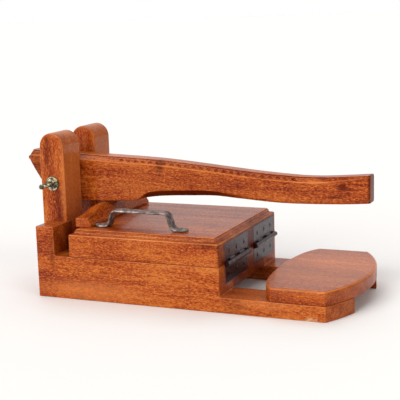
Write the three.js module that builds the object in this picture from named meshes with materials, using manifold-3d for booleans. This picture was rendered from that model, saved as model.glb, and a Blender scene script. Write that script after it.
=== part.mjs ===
// Hardwood lever press: two long side rails carry a bed, two upright cheeks and a
// bow-fronted rest board. A moulded pressing lid is hinged to the front of the bed,
// and a long lever, pivoted on a bolt between the cheeks, bears on the lid's block.
// Millimetres, +X to the front, +Y to the left side, +Z up.
import * as THREE from 'three';
import Module from 'manifold-3d';

// ---------------------------------------------------------------- driving sizes
const pressWidth = 200;          // over the two rails
const railLength = 370;          // rail's outer side, back to front corner
const railWidth = 47.5;
const railFrontHeight = 18.5;    // rail ahead of the bed
const bedHeight = 53.3;          // top of the bed, where the lid closes
const bedFront = 243.7;          // bed's front from the rails' back
const postHeight = 89.3;         // rail's raised back end
const postLength = 24.9;
const boardThickness = 16.6;     // rest board
const boardBack = 283;           // back of the rest board's bow
const boardBow = 29.5;           // how far the front bow stands proud of the rails
const boardSideBack = 306.6;     // where the board's straight sides begin
const boardCornerReach = 20;     // how far in its back corners are rounded
const lidBack = 46;
const lidSideHeight = 27;        // lid's plain side, under the moulding
const lidMouldHeight = 6.8;
const lidMouldWidth = 9.2;
const cheekBack = -12.2;
const cheekDepth = 34.4;         // front to back
const cheekHousing = 8.7;        // how deep each cheek is let into its rail
const cheekTop = 200.2;
const leverSlot = 39.2;          // between the cheeks
const leverThickness = 38;
const leverRoot = 59;            // lever's depth at the pivot
const leverTailLength = 63;      // behind the pivot
const leverReach = 394;          // ahead of the pivot
const leverTipThickness = 21;    // the grip narrows to this
const leverEdge = 3.4;           // bevel on the lever's long edges
const pivotHeight = 136.7;
const boltDiameter = 6.3;
const boltSpare = 22;            // threaded end standing out past the nut
const washerDiameter = 18;
const washerThickness = 1.6;
const nutAcrossFlats = 11;
const nutThickness = 5.5;
const blockBack = 47;            // press block's back
const blockDepth = 21;
const blockEndHeight = 11.2;
const blockRise = 9.5;           // from the block's ends up to the lever
const blockInset = 18;           // block's ends in from the lid's sides
const blockCrown = 72;           // flat top under the lever
const handleLength = 124.5;
const handleWidth = 16;
const handleHeight = 22;
const handleStrap = 2.2;
const handleBack = 68.5;
const handleAcross = 31.5;         // handle's middle from the lid's right side
const hingeWidth = 76;
const hingeLeaf = 24;            // one leaf, from the pin's line to its edge
const hingePlate = 2;
const hingeBarrel = 6.2;         // diameter
const hingeRightInset = 58.3;    // right hinge's middle from the right side
const hingeLeftInset = 44.4;     // left hinge's middle from the left side
const hingePin = 3;
const screwHead = 7;
const screwLength = 16;
const gap = 0.3;                 // between pieces that touch

// ---------------------------------------------------------------- derived sizes
const pivotX = cheekBack + cheekDepth / 2;
const lidTop = bedHeight + lidSideHeight + lidMouldHeight;
const leverBottom = lidTop + blockEndHeight + blockRise;
const boardFront = railLength + boardBow;
const halfBow = pressWidth / 2;
const bowRadius = (halfBow * halfBow + boardBow * boardBow) / (2 * boardBow);
const tailX = pivotX - leverTailLength;
const leverTip = pivotX + leverReach;
const middleX = (tailX + Math.max(boardFront, leverTip)) / 2;
const slotSide = (pressWidth - leverSlot) / 2;
const cheekSide = railWidth - cheekHousing;
const pinX = bedFront + hingeBarrel / 2 - 0.2;

const wasm = await Module();
wasm.setup();
const { Manifold, Mesh } = wasm;

// ---------------------------------------------------------------- helpers
function solid(geometry) {
  const g = geometry.index ? geometry.toNonIndexed() : geometry.clone();
  const at = g.getAttribute('position');
  const seen = new Map();
  const verts = [];
  const tris = [];
  for (let i = 0; i < at.count; i += 1) {
    const p = [at.getX(i), at.getY(i), at.getZ(i)];
    const key = p.map((v) => Math.round(v * 1e4)).join();
    if (!seen.has(key)) {
      seen.set(key, verts.length / 3);
      verts.push(...p);
    }
    tris.push(seen.get(key));
  }
  const kept = [];
  for (let i = 0; i < tris.length; i += 3) {
    const [a, b, c] = tris.slice(i, i + 3);
    if (a !== b && b !== c && a !== c) kept.push(a, b, c);
  }
  return new Manifold(new Mesh({
    numProp: 3,
    vertProperties: new Float32Array(verts),
    triVerts: new Uint32Array(kept),
  }));
}

function place(geometry, xTo, yTo, zTo, x, y, z) {
  const m = new THREE.Matrix4().makeBasis(xTo, yTo, zTo);
  m.setPosition(x, y, z);
  geometry.applyMatrix4(m);
  return solid(geometry);
}
const X = new THREE.Vector3(1, 0, 0);
const Y = new THREE.Vector3(0, 1, 0);
const Z = new THREE.Vector3(0, 0, 1);
const backY = new THREE.Vector3(0, -1, 0);

function extrude(shape, depth, bevel = 0, curve = 12) {
  return new THREE.ExtrudeGeometry(shape, {
    depth: depth - 2 * bevel,
    bevelEnabled: bevel > 0,
    bevelThickness: bevel,
    bevelSize: bevel,
    bevelOffset: -bevel,
    bevelSegments: 1,
    curveSegments: curve,
  });
}

// side view (x, z) run across from y0 to y1
function across(shape, y0, y1, bevel = 0, curve = 12) {
  return place(extrude(shape, y1 - y0, bevel, curve), X, Z, backY, 0, y1 - bevel, 0);
}
// end view (y, z) run along from x0 to x1
function along(shape, x0, x1) {
  return place(extrude(shape, x1 - x0), Y, Z, X, x0, 0, 0);
}
// plan (x, y) raised from z0 to z1
function raise(shape, z0, z1, bevel = 0, curve = 16) {
  return place(extrude(shape, z1 - z0, bevel, curve), X, Y, Z, 0, 0, z0 + bevel);
}
function box(x0, x1, y0, y1, z0, z1) {
  const g = new THREE.BoxGeometry(x1 - x0, y1 - y0, z1 - z0);
  g.translate((x0 + x1) / 2, (y0 + y1) / 2, (z0 + z1) / 2);
  return solid(g);
}
function outline(points) {
  return new THREE.Shape(points.map((p) => new THREE.Vector2(p[0], p[1])));
}
// round bar across the press at (x, z)
function rod(radius, x, z, y0, y1, sides = 20) {
  const g = new THREE.CylinderGeometry(radius, radius, y1 - y0, sides);
  g.translate(x, (y0 + y1) / 2, z);
  return solid(g);
}
// turned piece; profile in (radius, height) runs along the given direction
function turned(profile, xTo, yTo, zTo, x, y, z, sides = 14) {
  const g = new THREE.LatheGeometry(profile.map((p) => new THREE.Vector2(p[0], p[1])), sides);
  return place(g, xTo, yTo, zTo, x, y, z);
}

const group = new THREE.Group();
group.name = 'lever_press';
const looks = {
  wood: [0xa8501c, 0.3, 0],
  endwood: [0x9a4518, 0.35, 0],
  iron: [0x3a3a3c, 0.35, 0.9],
  forged: [0x77797c, 0.4, 0.9],
  zinc: [0xb9b7a8, 0.3, 1],
};

function add(name, body, look) {
  const mesh = body.getMesh();
  const count = mesh.numProp;
  const position = new Float32Array((mesh.vertProperties.length / count) * 3);
  for (let i = 0; i < position.length / 3; i += 1) {
    position[3 * i] = mesh.vertProperties[count * i] - middleX;
    position[3 * i + 1] = mesh.vertProperties[count * i + 1] - pressWidth / 2;
    position[3 * i + 2] = mesh.vertProperties[count * i + 2];
  }
  const g = new THREE.BufferGeometry();
  g.setAttribute('position', new THREE.BufferAttribute(position, 3));
  g.setIndex(new THREE.BufferAttribute(new Uint32Array(mesh.triVerts), 1));
  g.computeVertexNormals();
  const [color, roughness, metalness] = looks[look];
  const part = new THREE.Mesh(g, new THREE.MeshStandardMaterial({ color, roughness, metalness }));
  part.name = name;
  group.add(part);
}
const mirrored = (body) => body.mirror([0, 1, 0]).translate([0, pressWidth, 0]);

// ---------------------------------------------------------------- bow-fronted plan
const bowCentre = boardFront - bowRadius;
const bowSweep = Math.asin(halfBow / bowRadius);
function bowPlan(back) {
  const plan = new THREE.Shape();
  plan.moveTo(back, pressWidth);
  plan.lineTo(back, 0);
  plan.absarc(bowCentre, halfBow, bowRadius, -bowSweep, bowSweep, false);
  return plan;
}

// ---------------------------------------------------------------- rails
const railSide = outline([
  [0, 0],
  [boardFront, 0],
  [boardFront, railFrontHeight],
  [bedFront, railFrontHeight],
  [bedFront, bedHeight],
  [postLength, bedHeight],
  [postLength, postHeight],
  [0, postHeight],
]);
let rail = across(railSide, 0, railWidth).intersect(raise(bowPlan(-10), -1, cheekTop, 0, 24));
const housingFront = cheekBack + cheekDepth + gap;
rail = rail.subtract(box(-1, housingFront, cheekSide - gap, railWidth + 1, -1, cheekTop));

// ---------------------------------------------------------------- hinges and screws
const screwShape = [
  [0, -screwLength],
  [screwHead / 4, 3 - screwLength],
  [screwHead / 4, -2],
  [screwHead / 2, -0.3],
  [screwHead / 2, 0],
  [0, 0],
];
const screwHole = [
  [0, -screwLength - gap],
  [screwHead / 4 + gap, 3 - screwLength],
  [screwHead / 4 + gap, -2.3],
  [screwHead / 2 + gap, -0.5],
  [screwHead / 2 + gap, 1],
  [0, 1],
];
// axis of a screw driven in from the front: its own +Y points to +X
const frontways = [backY, X, Z];
const upright = [X, Z, backY];

const plateFace = bedFront + gap;            // outer face of a leaf
const mortise = hingePlate;                  // depth cut into bed and lid
const hinges = [hingeRightInset, pressWidth - hingeLeftInset];
const barrel = hingeBarrel / 2;
const knuckles = 5;
const leafCuts = [];
const screwSpots = [];
for (const middle of hinges) {
  for (const up of [1, -1]) {
    const rows = up > 0 ? 'upper' : 'lower';
    for (const step of [-1, 0, 1]) {
      const y = middle + (step * hingeWidth) / 3.1;
      const z = bedHeight + up * (barrel + (hingeLeaf - barrel) * 0.52);
      screwSpots.push({ y, z, rows });
    }
  }
}
function screwCut(spot) {
  return turned(screwHole, ...frontways, plateFace, spot.y, spot.z);
}
function leaf(middle, up) {
  const y0 = middle - hingeWidth / 2;
  const zNear = bedHeight + up * (barrel + gap);
  const zFar = bedHeight + up * hingeLeaf;
  const back = plateFace - hingePlate;
  let body = box(back, plateFace, y0, y0 + hingeWidth, Math.min(zNear, zFar), Math.max(zNear, zFar));
  const pitch = hingeWidth / knuckles;
  for (let i = 0; i < knuckles; i += 1) {
    if ((i % 2 === 0) !== (up < 0)) continue;
    const a = y0 + i * pitch + (i > 0 ? gap / 2 : 0);
    const b = y0 + (i + 1) * pitch - (i < knuckles - 1 ? gap / 2 : 0);
    const z1 = bedHeight + up * 0.6;
    const z2 = bedHeight + up * (barrel + 2 * gap);
    body = body.add(box(back, pinX, a, b, Math.min(z1, z2), Math.max(z1, z2)).intersect(
      box(back, plateFace + 1, a, b, 0, cheekTop),
    ));
    body = body.add(rod(barrel, pinX, bedHeight, a, b));
  }
  return body.subtract(rod(hingePin / 2 + gap, pinX, bedHeight, y0 - 1, y0 + hingeWidth + 1));
}
for (const middle of hinges) {
  const y0 = middle - hingeWidth / 2 - gap;
  const y1 = middle + hingeWidth / 2 + gap;
  const tall = hingeLeaf + gap;
  leafCuts.push(box(bedFront - mortise, bedFront + 9, y0, y1, bedHeight - tall, bedHeight + tall));
}
function fitHinges(body, rows) {
  let cut = body;
  for (const tool of leafCuts) {
    cut = cut.subtract(tool);
  }
  for (const spot of screwSpots) {
    if (spot.rows === rows) cut = cut.subtract(screwCut(spot));
  }
  return cut;
}

// ---------------------------------------------------------------- base
add('rail_right', fitHinges(rail, 'lower'), 'wood');
add('rail_left', fitHinges(mirrored(rail), 'lower'), 'wood');

const bed = box(
  housingFront, bedFront, railWidth + gap, pressWidth - railWidth - gap, railFrontHeight, bedHeight - gap / 2,
);
add('bed', fitHinges(bed, 'lower'), 'wood');

const cheekFront = cheekBack + cheekDepth;
const cheekShape = new THREE.Shape();
cheekShape.moveTo(cheekBack, 0);
cheekShape.lineTo(cheekFront, 0);
cheekShape.absarc(pivotX, cheekTop - cheekDepth / 2, cheekDepth / 2, 0, Math.PI, false);
const boltHole = rod(boltDiameter / 2 + gap, pivotX, pivotHeight, -50, pressWidth + 50);
const cheek = across(cheekShape, cheekSide, slotSide, 0, 14).subtract(boltHole);
add('cheek_right', cheek, 'wood');
add('cheek_left', mirrored(cheek), 'wood');

const spacerTop = bedHeight + 12;
add('cheek_spacer', box(
  cheekBack, cheekFront, slotSide + gap, pressWidth - slotSide - gap, railFrontHeight, spacerTop,
), 'endwood');

// rest board: bowed front and back, square sides flush with the rails
const boardPlan = new THREE.Shape();
boardPlan.moveTo(boardSideBack, pressWidth);
boardPlan.quadraticCurveTo(boardBack + 2, pressWidth - boardCornerReach, boardBack, halfBow);
boardPlan.quadraticCurveTo(boardBack + 2, boardCornerReach, boardSideBack, 0);
boardPlan.lineTo(railLength, 0);
boardPlan.absarc(bowCentre, halfBow, bowRadius, -bowSweep, bowSweep, false);
const boardBottom = railFrontHeight + gap;
add('rest_board', raise(boardPlan, boardBottom, boardBottom + boardThickness, 1.2), 'wood');

// ---------------------------------------------------------------- lever
const leverTop = leverBottom + leverRoot;
const reach = leverReach;
const leverShape = new THREE.Shape();
leverShape.moveTo(tailX, leverTop - 3);
leverShape.lineTo(pivotX - 27, leverBottom);
leverShape.lineTo(pivotX + reach * 0.13, leverBottom + 1);
leverShape.lineTo(pivotX + reach * 0.246, leverBottom + leverRoot * 0.066);
leverShape.splineThru([
  new THREE.Vector2(pivotX + reach * 0.262, leverBottom + leverRoot * 0.108),
  new THREE.Vector2(pivotX + reach * 0.306, leverBottom + leverRoot * 0.155),
  new THREE.Vector2(pivotX + reach * 0.36, leverBottom + leverRoot * 0.186),
  new THREE.Vector2(pivotX + reach * 0.44, leverBottom + leverRoot * 0.21),
  new THREE.Vector2(pivotX + reach * 0.512, leverBottom + leverRoot * 0.224),
  new THREE.Vector2(pivotX + reach * 0.6, leverBottom + leverRoot * 0.194),
  new THREE.Vector2(pivotX + reach * 0.74, leverBottom + leverRoot * 0.139),
  new THREE.Vector2(pivotX + reach * 0.9, leverBottom + leverRoot * 0.156),
  new THREE.Vector2(leverTip, leverBottom + leverRoot * 0.195),
]);
leverShape.lineTo(leverTip - 1, leverTop - leverRoot * 0.248);
leverShape.splineThru([
  new THREE.Vector2(pivotX + reach * 0.9, leverTop - leverRoot * 0.298),
  new THREE.Vector2(pivotX + reach * 0.83, leverTop - leverRoot * 0.318),
  new THREE.Vector2(pivotX + reach * 0.76, leverTop - leverRoot * 0.31),
  new THREE.Vector2(pivotX + reach * 0.63, leverTop - leverRoot * 0.253),
  new THREE.Vector2(pivotX + reach * 0.45, leverTop - leverRoot * 0.138),
  new THREE.Vector2(pivotX + reach * 0.3, leverTop - leverRoot * 0.056),
  new THREE.Vector2(pivotX + reach * 0.11, leverTop - leverRoot * 0.004),
  new THREE.Vector2(pivotX - 0.7 * leverTailLength, leverTop + 4.5),
]);
leverShape.lineTo(tailX + 3, leverTop + 5);
const leverSide = (pressWidth - leverThickness) / 2;
let lever = across(leverShape, leverSide, leverSide + leverThickness, leverEdge, 4);
const taperStart = pivotX + reach * 0.45;
const taperLoss = 1 - leverTipThickness / leverThickness;
lever = lever.warp((v) => {
  const far = Math.max(0, (v[0] - taperStart) / (leverTip - taperStart));
  v[1] = pressWidth / 2 + (v[1] - pressWidth / 2) * (1 - taperLoss * far);
});
lever = lever.subtract(boltHole);
add('lever', lever, 'wood');

// ---------------------------------------------------------------- pivot bolt
const boltLeft = pressWidth - cheekSide + washerThickness + gap;
const boltRight = cheekSide - washerThickness - nutThickness - boltSpare;
function hexagon(flats, y0, y1) {
  const g = new THREE.CylinderGeometry(flats / Math.sqrt(3), flats / Math.sqrt(3), y1 - y0, 6);
  g.translate(pivotX, (y0 + y1) / 2, pivotHeight);
  return solid(g);
}
let bolt = rod(boltDiameter / 2, pivotX, pivotHeight, boltRight, boltLeft + 1);
bolt = bolt.add(hexagon(nutAcrossFlats, boltLeft + gap, boltLeft + gap + 4.2));
add('pivot_bolt', bolt, 'zinc');
const washerFace = cheekSide - gap;
const washer = rod(washerDiameter / 2, pivotX, pivotHeight, washerFace - washerThickness, washerFace)
  .subtract(boltHole);
add('washer_right', washer, 'zinc');
add('washer_left', mirrored(washer), 'zinc');
const nutFace = cheekSide - washerThickness - 2 * gap;
add('pivot_nut', hexagon(nutAcrossFlats, nutFace - nutThickness, nutFace).subtract(boltHole), 'zinc');

// ---------------------------------------------------------------- lid
const lidBottom = bedHeight + gap / 2;
const lidShoulder = bedHeight + lidSideHeight;
function lidEnd(a, b) {
  const w = lidMouldWidth;
  const h = lidMouldHeight;
  const half = [];
  for (let i = 0; i <= 5; i += 1) {
    const t = (i / 5) * (Math.PI / 2);
    half.push([0.2 * w + 0.45 * w * (1 - Math.cos(t)), 0.2 * h + 0.6 * h * Math.sin(t)]);
  }
  const edge = [[0, 0], [0.2 * w, 0.05 * h], ...half, [w * 0.72, 0.8 * h], [w, h]];
  const left = edge.map((p) => [a + p[0], lidShoulder + p[1]]);
  const right = edge.map((p) => [b - p[0], lidShoulder + p[1]]);
  return outline([[b, lidBottom], ...right, ...left.reverse(), [a, lidBottom]]);
}
let lid = across(lidEnd(lidBack, bedFront), 0, pressWidth)
  .intersect(along(lidEnd(0, pressWidth), lidBack - 1, bedFront + 1));
lid = fitHinges(lid, 'upper');

const handleFoot = 19;
const footTop = lidTop + gap + handleStrap;
const handleFront = handleBack + handleLength;
const footScrews = [handleBack + handleFoot * 0.45, handleFront - handleFoot * 0.45];
for (const x of footScrews) {
  lid = lid.subtract(turned(screwHole, ...upright, x, handleAcross, footTop));
}
add('lid', lid, 'wood');

const blockTop = leverBottom - gap;
const blockBase = lidTop + gap;
const crown = (pressWidth - blockCrown) / 2;
const blockEnd = lidTop + blockEndHeight;
const blockAcross = outline([
  [blockInset, blockBase],
  [pressWidth - blockInset, blockBase],
  [pressWidth - blockInset, blockEnd],
  [pressWidth - blockInset - 22, blockEnd + 2.6],
  [pressWidth - crown, blockTop],
  [crown, blockTop],
  [blockInset + 22, blockEnd + 2.6],
  [blockInset, blockEnd],
]);
const blockSide = outline([
  [blockBack, blockBase],
  [blockBack + blockDepth, blockBase],
  [blockBack + blockDepth, blockBase + 4],
  [blockBack + blockDepth - 11, blockTop],
  [blockBack + 4, blockTop],
  [blockBack, blockTop - 4],
]);
add('press_block', along(blockAcross, blockBack - 1, blockBack + blockDepth + 1)
  .intersect(across(blockSide, 0, pressWidth)), 'wood');

// ---------------------------------------------------------------- lid handle
function strapOutline(path, thickness) {
  const one = [];
  const two = [];
  path.forEach((p, i) => {
    const before = path[Math.max(0, i - 1)];
    const after = path[Math.min(path.length - 1, i + 1)];
    const inDir = new THREE.Vector2(p[0] - before[0], p[1] - before[1]).normalize();
    const outDir = new THREE.Vector2(after[0] - p[0], after[1] - p[1]).normalize();
    const mean = inDir.clone().add(outDir).normalize();
    const normal = new THREE.Vector2(-mean.y, mean.x);
    const lead = i === 0 ? outDir : inDir;
    const stretch = thickness / 2 / Math.abs(normal.x * -lead.y + normal.y * lead.x);
    one.push([p[0] + normal.x * stretch, p[1] + normal.y * stretch]);
    two.push([p[0] - normal.x * stretch, p[1] - normal.y * stretch]);
  });
  return outline([...one, ...two.reverse()].reverse());
}
const strapZ = lidTop + gap + handleStrap / 2;
const gripZ = lidTop + handleHeight - handleStrap / 2;
const lean = 7;
const handlePath = [
  [handleBack, strapZ],
  [handleBack + handleFoot - 2, strapZ],
  [handleBack + handleFoot + 1.5, strapZ + 3],
  [handleBack + handleFoot + lean - 2, gripZ - 3],
  [handleBack + handleFoot + lean + 2, gripZ],
];
for (const t of [0.25, 0.5, 0.75]) {
  const x0 = handleBack + handleFoot + lean;
  const x1 = handleFront - handleFoot - lean;
  handlePath.push([x0 + (x1 - x0) * t, gripZ - 1.6 * Math.sin(Math.PI * t)]);
}
handlePath.push(
  [handleFront - handleFoot - lean - 2, gripZ],
  [handleFront - handleFoot - lean + 2, gripZ - 3],
  [handleFront - handleFoot - 1.5, strapZ + 3],
  [handleFront - handleFoot + 2, strapZ],
  [handleFront, strapZ],
);
const handleSide = handleAcross - handleWidth / 2;
let handle = across(strapOutline(handlePath, handleStrap), handleSide, handleSide + handleWidth);
for (const x of footScrews) {
  handle = handle.subtract(turned(screwHole, ...upright, x, handleAcross, footTop));
}
add('lid_handle', handle, 'forged');
footScrews.forEach((x, i) => {
  add(`handle_screw_${i + 1}`, turned(screwShape, ...upright, x, handleAcross, footTop), 'zinc');
});

// ---------------------------------------------------------------- hinge pieces
hinges.forEach((middle, i) => {
  const side = i === 0 ? 'right' : 'left';
  for (const up of [1, -1]) {
    const rows = up > 0 ? 'upper' : 'lower';
    let body = leaf(middle, up);
    const spots = screwSpots.filter((s) => s.rows === rows && Math.abs(s.y - middle) < hingeWidth / 2);
    spots.forEach((spot, k) => {
      body = body.subtract(screwCut(spot));
      add(`hinge_screw_${side}_${rows}_${k + 1}`, turned(
        screwShape, ...frontways, plateFace, spot.y, spot.z,
      ), 'iron');
    });
    add(`hinge_${side}_${rows}_leaf`, body, 'iron');
  }
  add(`hinge_${side}_pin`, rod(
    hingePin / 2, pinX, bedHeight, middle - hingeWidth / 2 - 1, middle + hingeWidth / 2 + 1, 14,
  ), 'iron');
});

export default group;
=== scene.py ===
"""Looks of the hardwood lever press: eased and lacquered joinery, a moulded lid,
a chip-carved lever, a hammered handle and dark iron butt hinges."""
import math

import bmesh
import bpy
from bpy.props import FloatProperty, FloatVectorProperty, IntProperty, PointerProperty
from mathutils import Matrix, Vector, noise
from mathutils.bvhtree import BVHTree


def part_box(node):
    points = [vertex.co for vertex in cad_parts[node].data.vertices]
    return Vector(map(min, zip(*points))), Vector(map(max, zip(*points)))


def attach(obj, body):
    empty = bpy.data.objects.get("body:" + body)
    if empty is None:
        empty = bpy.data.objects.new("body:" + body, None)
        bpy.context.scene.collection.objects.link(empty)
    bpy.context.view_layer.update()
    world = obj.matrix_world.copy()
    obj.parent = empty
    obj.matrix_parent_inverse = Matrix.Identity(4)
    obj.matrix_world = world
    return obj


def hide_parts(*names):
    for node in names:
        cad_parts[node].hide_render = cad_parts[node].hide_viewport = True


bl_info = {
    "name": "Hardwood Lever Press",
    "version": (1, 0, 0),
    "blender": (4, 5, 0),
    "location": "View3D > Sidebar > Press",
    "description": "Builds the visible pieces of a hardwood lever press around its frame",
    "category": "Object",
}

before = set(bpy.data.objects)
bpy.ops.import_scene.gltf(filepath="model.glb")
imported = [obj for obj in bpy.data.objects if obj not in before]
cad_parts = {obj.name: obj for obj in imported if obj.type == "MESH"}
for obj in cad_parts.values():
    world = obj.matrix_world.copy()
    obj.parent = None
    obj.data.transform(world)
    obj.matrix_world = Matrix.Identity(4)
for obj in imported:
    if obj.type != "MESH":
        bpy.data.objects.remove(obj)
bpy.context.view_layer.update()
MM = 0.001
SAME_POINT = 1e-6
CREASE = math.radians(30)


# ------------------------------------------------------------------ sizes and colours
def length_prop(name, description, default):
    return FloatProperty(
        name=name, description=description, default=default * MM, min=0.0, unit="LENGTH"
    )


def colour_prop(name, description, default):
    return FloatVectorProperty(
        name=name, description=description, default=default, size=3, min=0.0, max=1.0,
        subtype="COLOR",
    )


class PressSizes(bpy.types.PropertyGroup):
    """Sizes of the press's fine detail"""

    wood_ease: length_prop("Wood ease", "Radius rubbed onto the edges of the wooden pieces", 1.3)
    lever_bevel: length_prop("Lever bevel", "Drop of the bevel along the lever's top edges", 6.2)
    lever_under: length_prop("Lever under bevel", "Largest bevel under the lever's arch", 7.0)
    chip_pitch: length_prop("Chip pitch", "Distance between the gouge chips on the lever", 9.8)
    chip_length: length_prop("Chip length", "Length of one gouge chip", 6.6)
    chip_depth: length_prop("Chip depth", "Depth of one gouge chip", 1.9)
    board_round: length_prop("Board round", "Radius on the rest board's upper edge", 3.0)
    metal_ease: length_prop("Metal ease", "Radius on the edges of the iron leaves", 0.35)
    leaf_thickness: length_prop("Leaf thickness", "Thickness of a hinge leaf's plate", 2.0)
    knuckle_gap: length_prop("Knuckle gap", "Gap beside a hinge knuckle", 0.3)
    strap_thickness: length_prop("Strap thickness", "Thickness of the handle's strap", 2.9)
    screw_head: length_prop("Screw head", "Radius of the screws' heads", 3.35)
    bolt_hole: length_prop("Bolt hole", "Radius of the hole in the cheeks, lever and washers", 3.5)
    thread_pitch: length_prop("Thread pitch", "Pitch of the pivot bolt's thread", 1.27)
    thread_depth: length_prop("Thread depth", "Depth of the pivot bolt's thread", 0.5)
    lever_stations: IntProperty(
        name="Lever stations", description="Cross sections along the lever", default=150, min=20
    )


class PressColours(bpy.types.PropertyGroup):
    """Colours of the press's finishes"""

    wood_dark: colour_prop("Wood dark", "Dark grain of the hardwood", (0.150, 0.014, 0.003))
    wood_mid: colour_prop("Wood body", "Body colour of the hardwood", (0.375, 0.062, 0.006))
    wood_light: colour_prop("Wood light", "Light grain of the hardwood", (0.56, 0.165, 0.025))
    iron: colour_prop("Hinge iron", "Dark bronzed iron", (0.040, 0.023, 0.032))
    iron_worn: colour_prop("Worn iron", "Iron where the finish has rubbed", (0.25, 0.18, 0.21))
    forged: colour_prop("Forged steel", "Hammered steel of the handle", (0.43, 0.41, 0.40))
    forged_dark: colour_prop("Forge scale", "Dark scale in the hammer marks", (0.15, 0.125, 0.12))
    zinc: colour_prop("Zinc plate", "Yellowish zinc plate", (0.66, 0.61, 0.42))
    floor: colour_prop("Floor", "Plain pale floor", (0.925, 0.945, 0.965))


def sizes():
    """The sizes set in the panel"""
    return bpy.context.scene.press_sizes


def colours():
    """The colours set in the panel"""
    return bpy.context.scene.press_colours


# ------------------------------------------------------------------ shader expressions
class Socket:
    """An output socket that takes part in arithmetic"""

    def __init__(self, maker, socket):
        self.maker = maker
        self.socket = socket

    def _math(self, operation, *values):
        return self.maker.out("ShaderNodeMath", {"operation": operation}, dict(enumerate(values)))

    def __add__(self, other):
        return self._math("ADD", self, other)

    __radd__ = __add__

    def __mul__(self, other):
        return self._math("MULTIPLY", self, other)

    __rmul__ = __mul__

    def __sub__(self, other):
        return self._math("SUBTRACT", self, other)

    def __rsub__(self, other):
        return self._math("SUBTRACT", other, self)

    def clamped(self):
        """Kept between 0 and 1"""
        return self.maker.out("ShaderNodeClamp", inputs={0: self})

    def band(self, low, high):
        """0 below low, 1 above high, smooth between"""
        settings = {"interpolation_type": "SMOOTHSTEP"}
        return self.maker.out("ShaderNodeMapRange", settings, {0: self, 1: low, 2: high})


class Tree:
    """Adds nodes to a node tree"""

    def __init__(self, tree):
        self.tree = tree
        tree.nodes.clear()

    def node(self, kind, settings=None, inputs=None):
        """A new node: its settings first, then its inputs as values or links"""
        made = self.tree.nodes.new(kind)
        for key, value in (settings or {}).items():
            setattr(made, key, value)
        for key, value in (inputs or {}).items():
            if isinstance(value, Socket):
                value = value.socket
            if isinstance(value, bpy.types.NodeSocket):
                self.tree.links.new(value, made.inputs[key])
            else:
                made.inputs[key].default_value = value
        return made

    def out(self, kind, settings=None, inputs=None, output=0):
        """A new node's output, ready for arithmetic"""
        return Socket(self, self.node(kind, settings, inputs).outputs[output])

    def mix(self, factor, one, two):
        """Blend of two colours"""
        one, two = (c if isinstance(c, Socket) else (*c, 1.0) for c in (one, two))
        return self.out("ShaderNodeMix", {"data_type": "RGBA"}, {0: factor, 6: one, 7: two}, 2)


class Finish(Tree):
    """Builds one material's node tree"""

    def __init__(self, name):
        self.material = bpy.data.materials.new(name)
        self.material.use_nodes = True
        super().__init__(self.material.node_tree)
        self.coords = self.out("ShaderNodeTexCoord", output="Object")

    def mapped(self, scale, shift=(0, 0, 0)):
        """The piece's own coordinates, scaled and shifted"""
        inputs = {"Vector": self.coords, "Location": shift, "Scale": scale}
        return self.out("ShaderNodeMapping", inputs=inputs)

    def noise(self, vector, scale, detail=3.0, rough=0.5, distortion=0.0):
        inputs = {"Vector": vector, "Scale": scale, "Detail": detail, "Roughness": rough,
                  "Distortion": distortion}
        return self.out("ShaderNodeTexNoise", inputs=inputs, output="Fac")

    def cells(self, vector, scale, feature="F1"):
        """Distance to the middle of the nearest cell"""
        inputs = {"Vector": vector, "Scale": scale}
        return self.out("ShaderNodeTexVoronoi", {"feature": feature}, inputs, "Distance")

    def attribute(self, name):
        """A number carried by the mesh"""
        return self.out("ShaderNodeAttribute", {"attribute_name": name}, output="Fac")

    def distance(self, point, stretch):
        """Distance from a point, with each axis stretched"""
        moved = self.mapped(stretch, [-p * s for p, s in zip(point, stretch)])
        return self.out("ShaderNodeVectorMath", {"operation": "LENGTH"}, {0: moved}, "Value")

    def bump(self, height, strength, depth):
        inputs = {"Height": height, "Strength": strength, "Distance": depth}
        return self.out("ShaderNodeBump", inputs=inputs)

    def surface(self, inputs):
        """Ends the tree with a Principled shader and gives the material"""
        shader = self.out("ShaderNodeBsdfPrincipled", inputs=inputs)
        self.node("ShaderNodeOutputMaterial", inputs={0: shader})
        return self.material


# ------------------------------------------------------------------ finishes
def along_grain(grain, along, across):
    """Scale of a pattern drawn out along the fibres"""
    return tuple(along if axis == grain else across for axis in "xyz")


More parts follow.
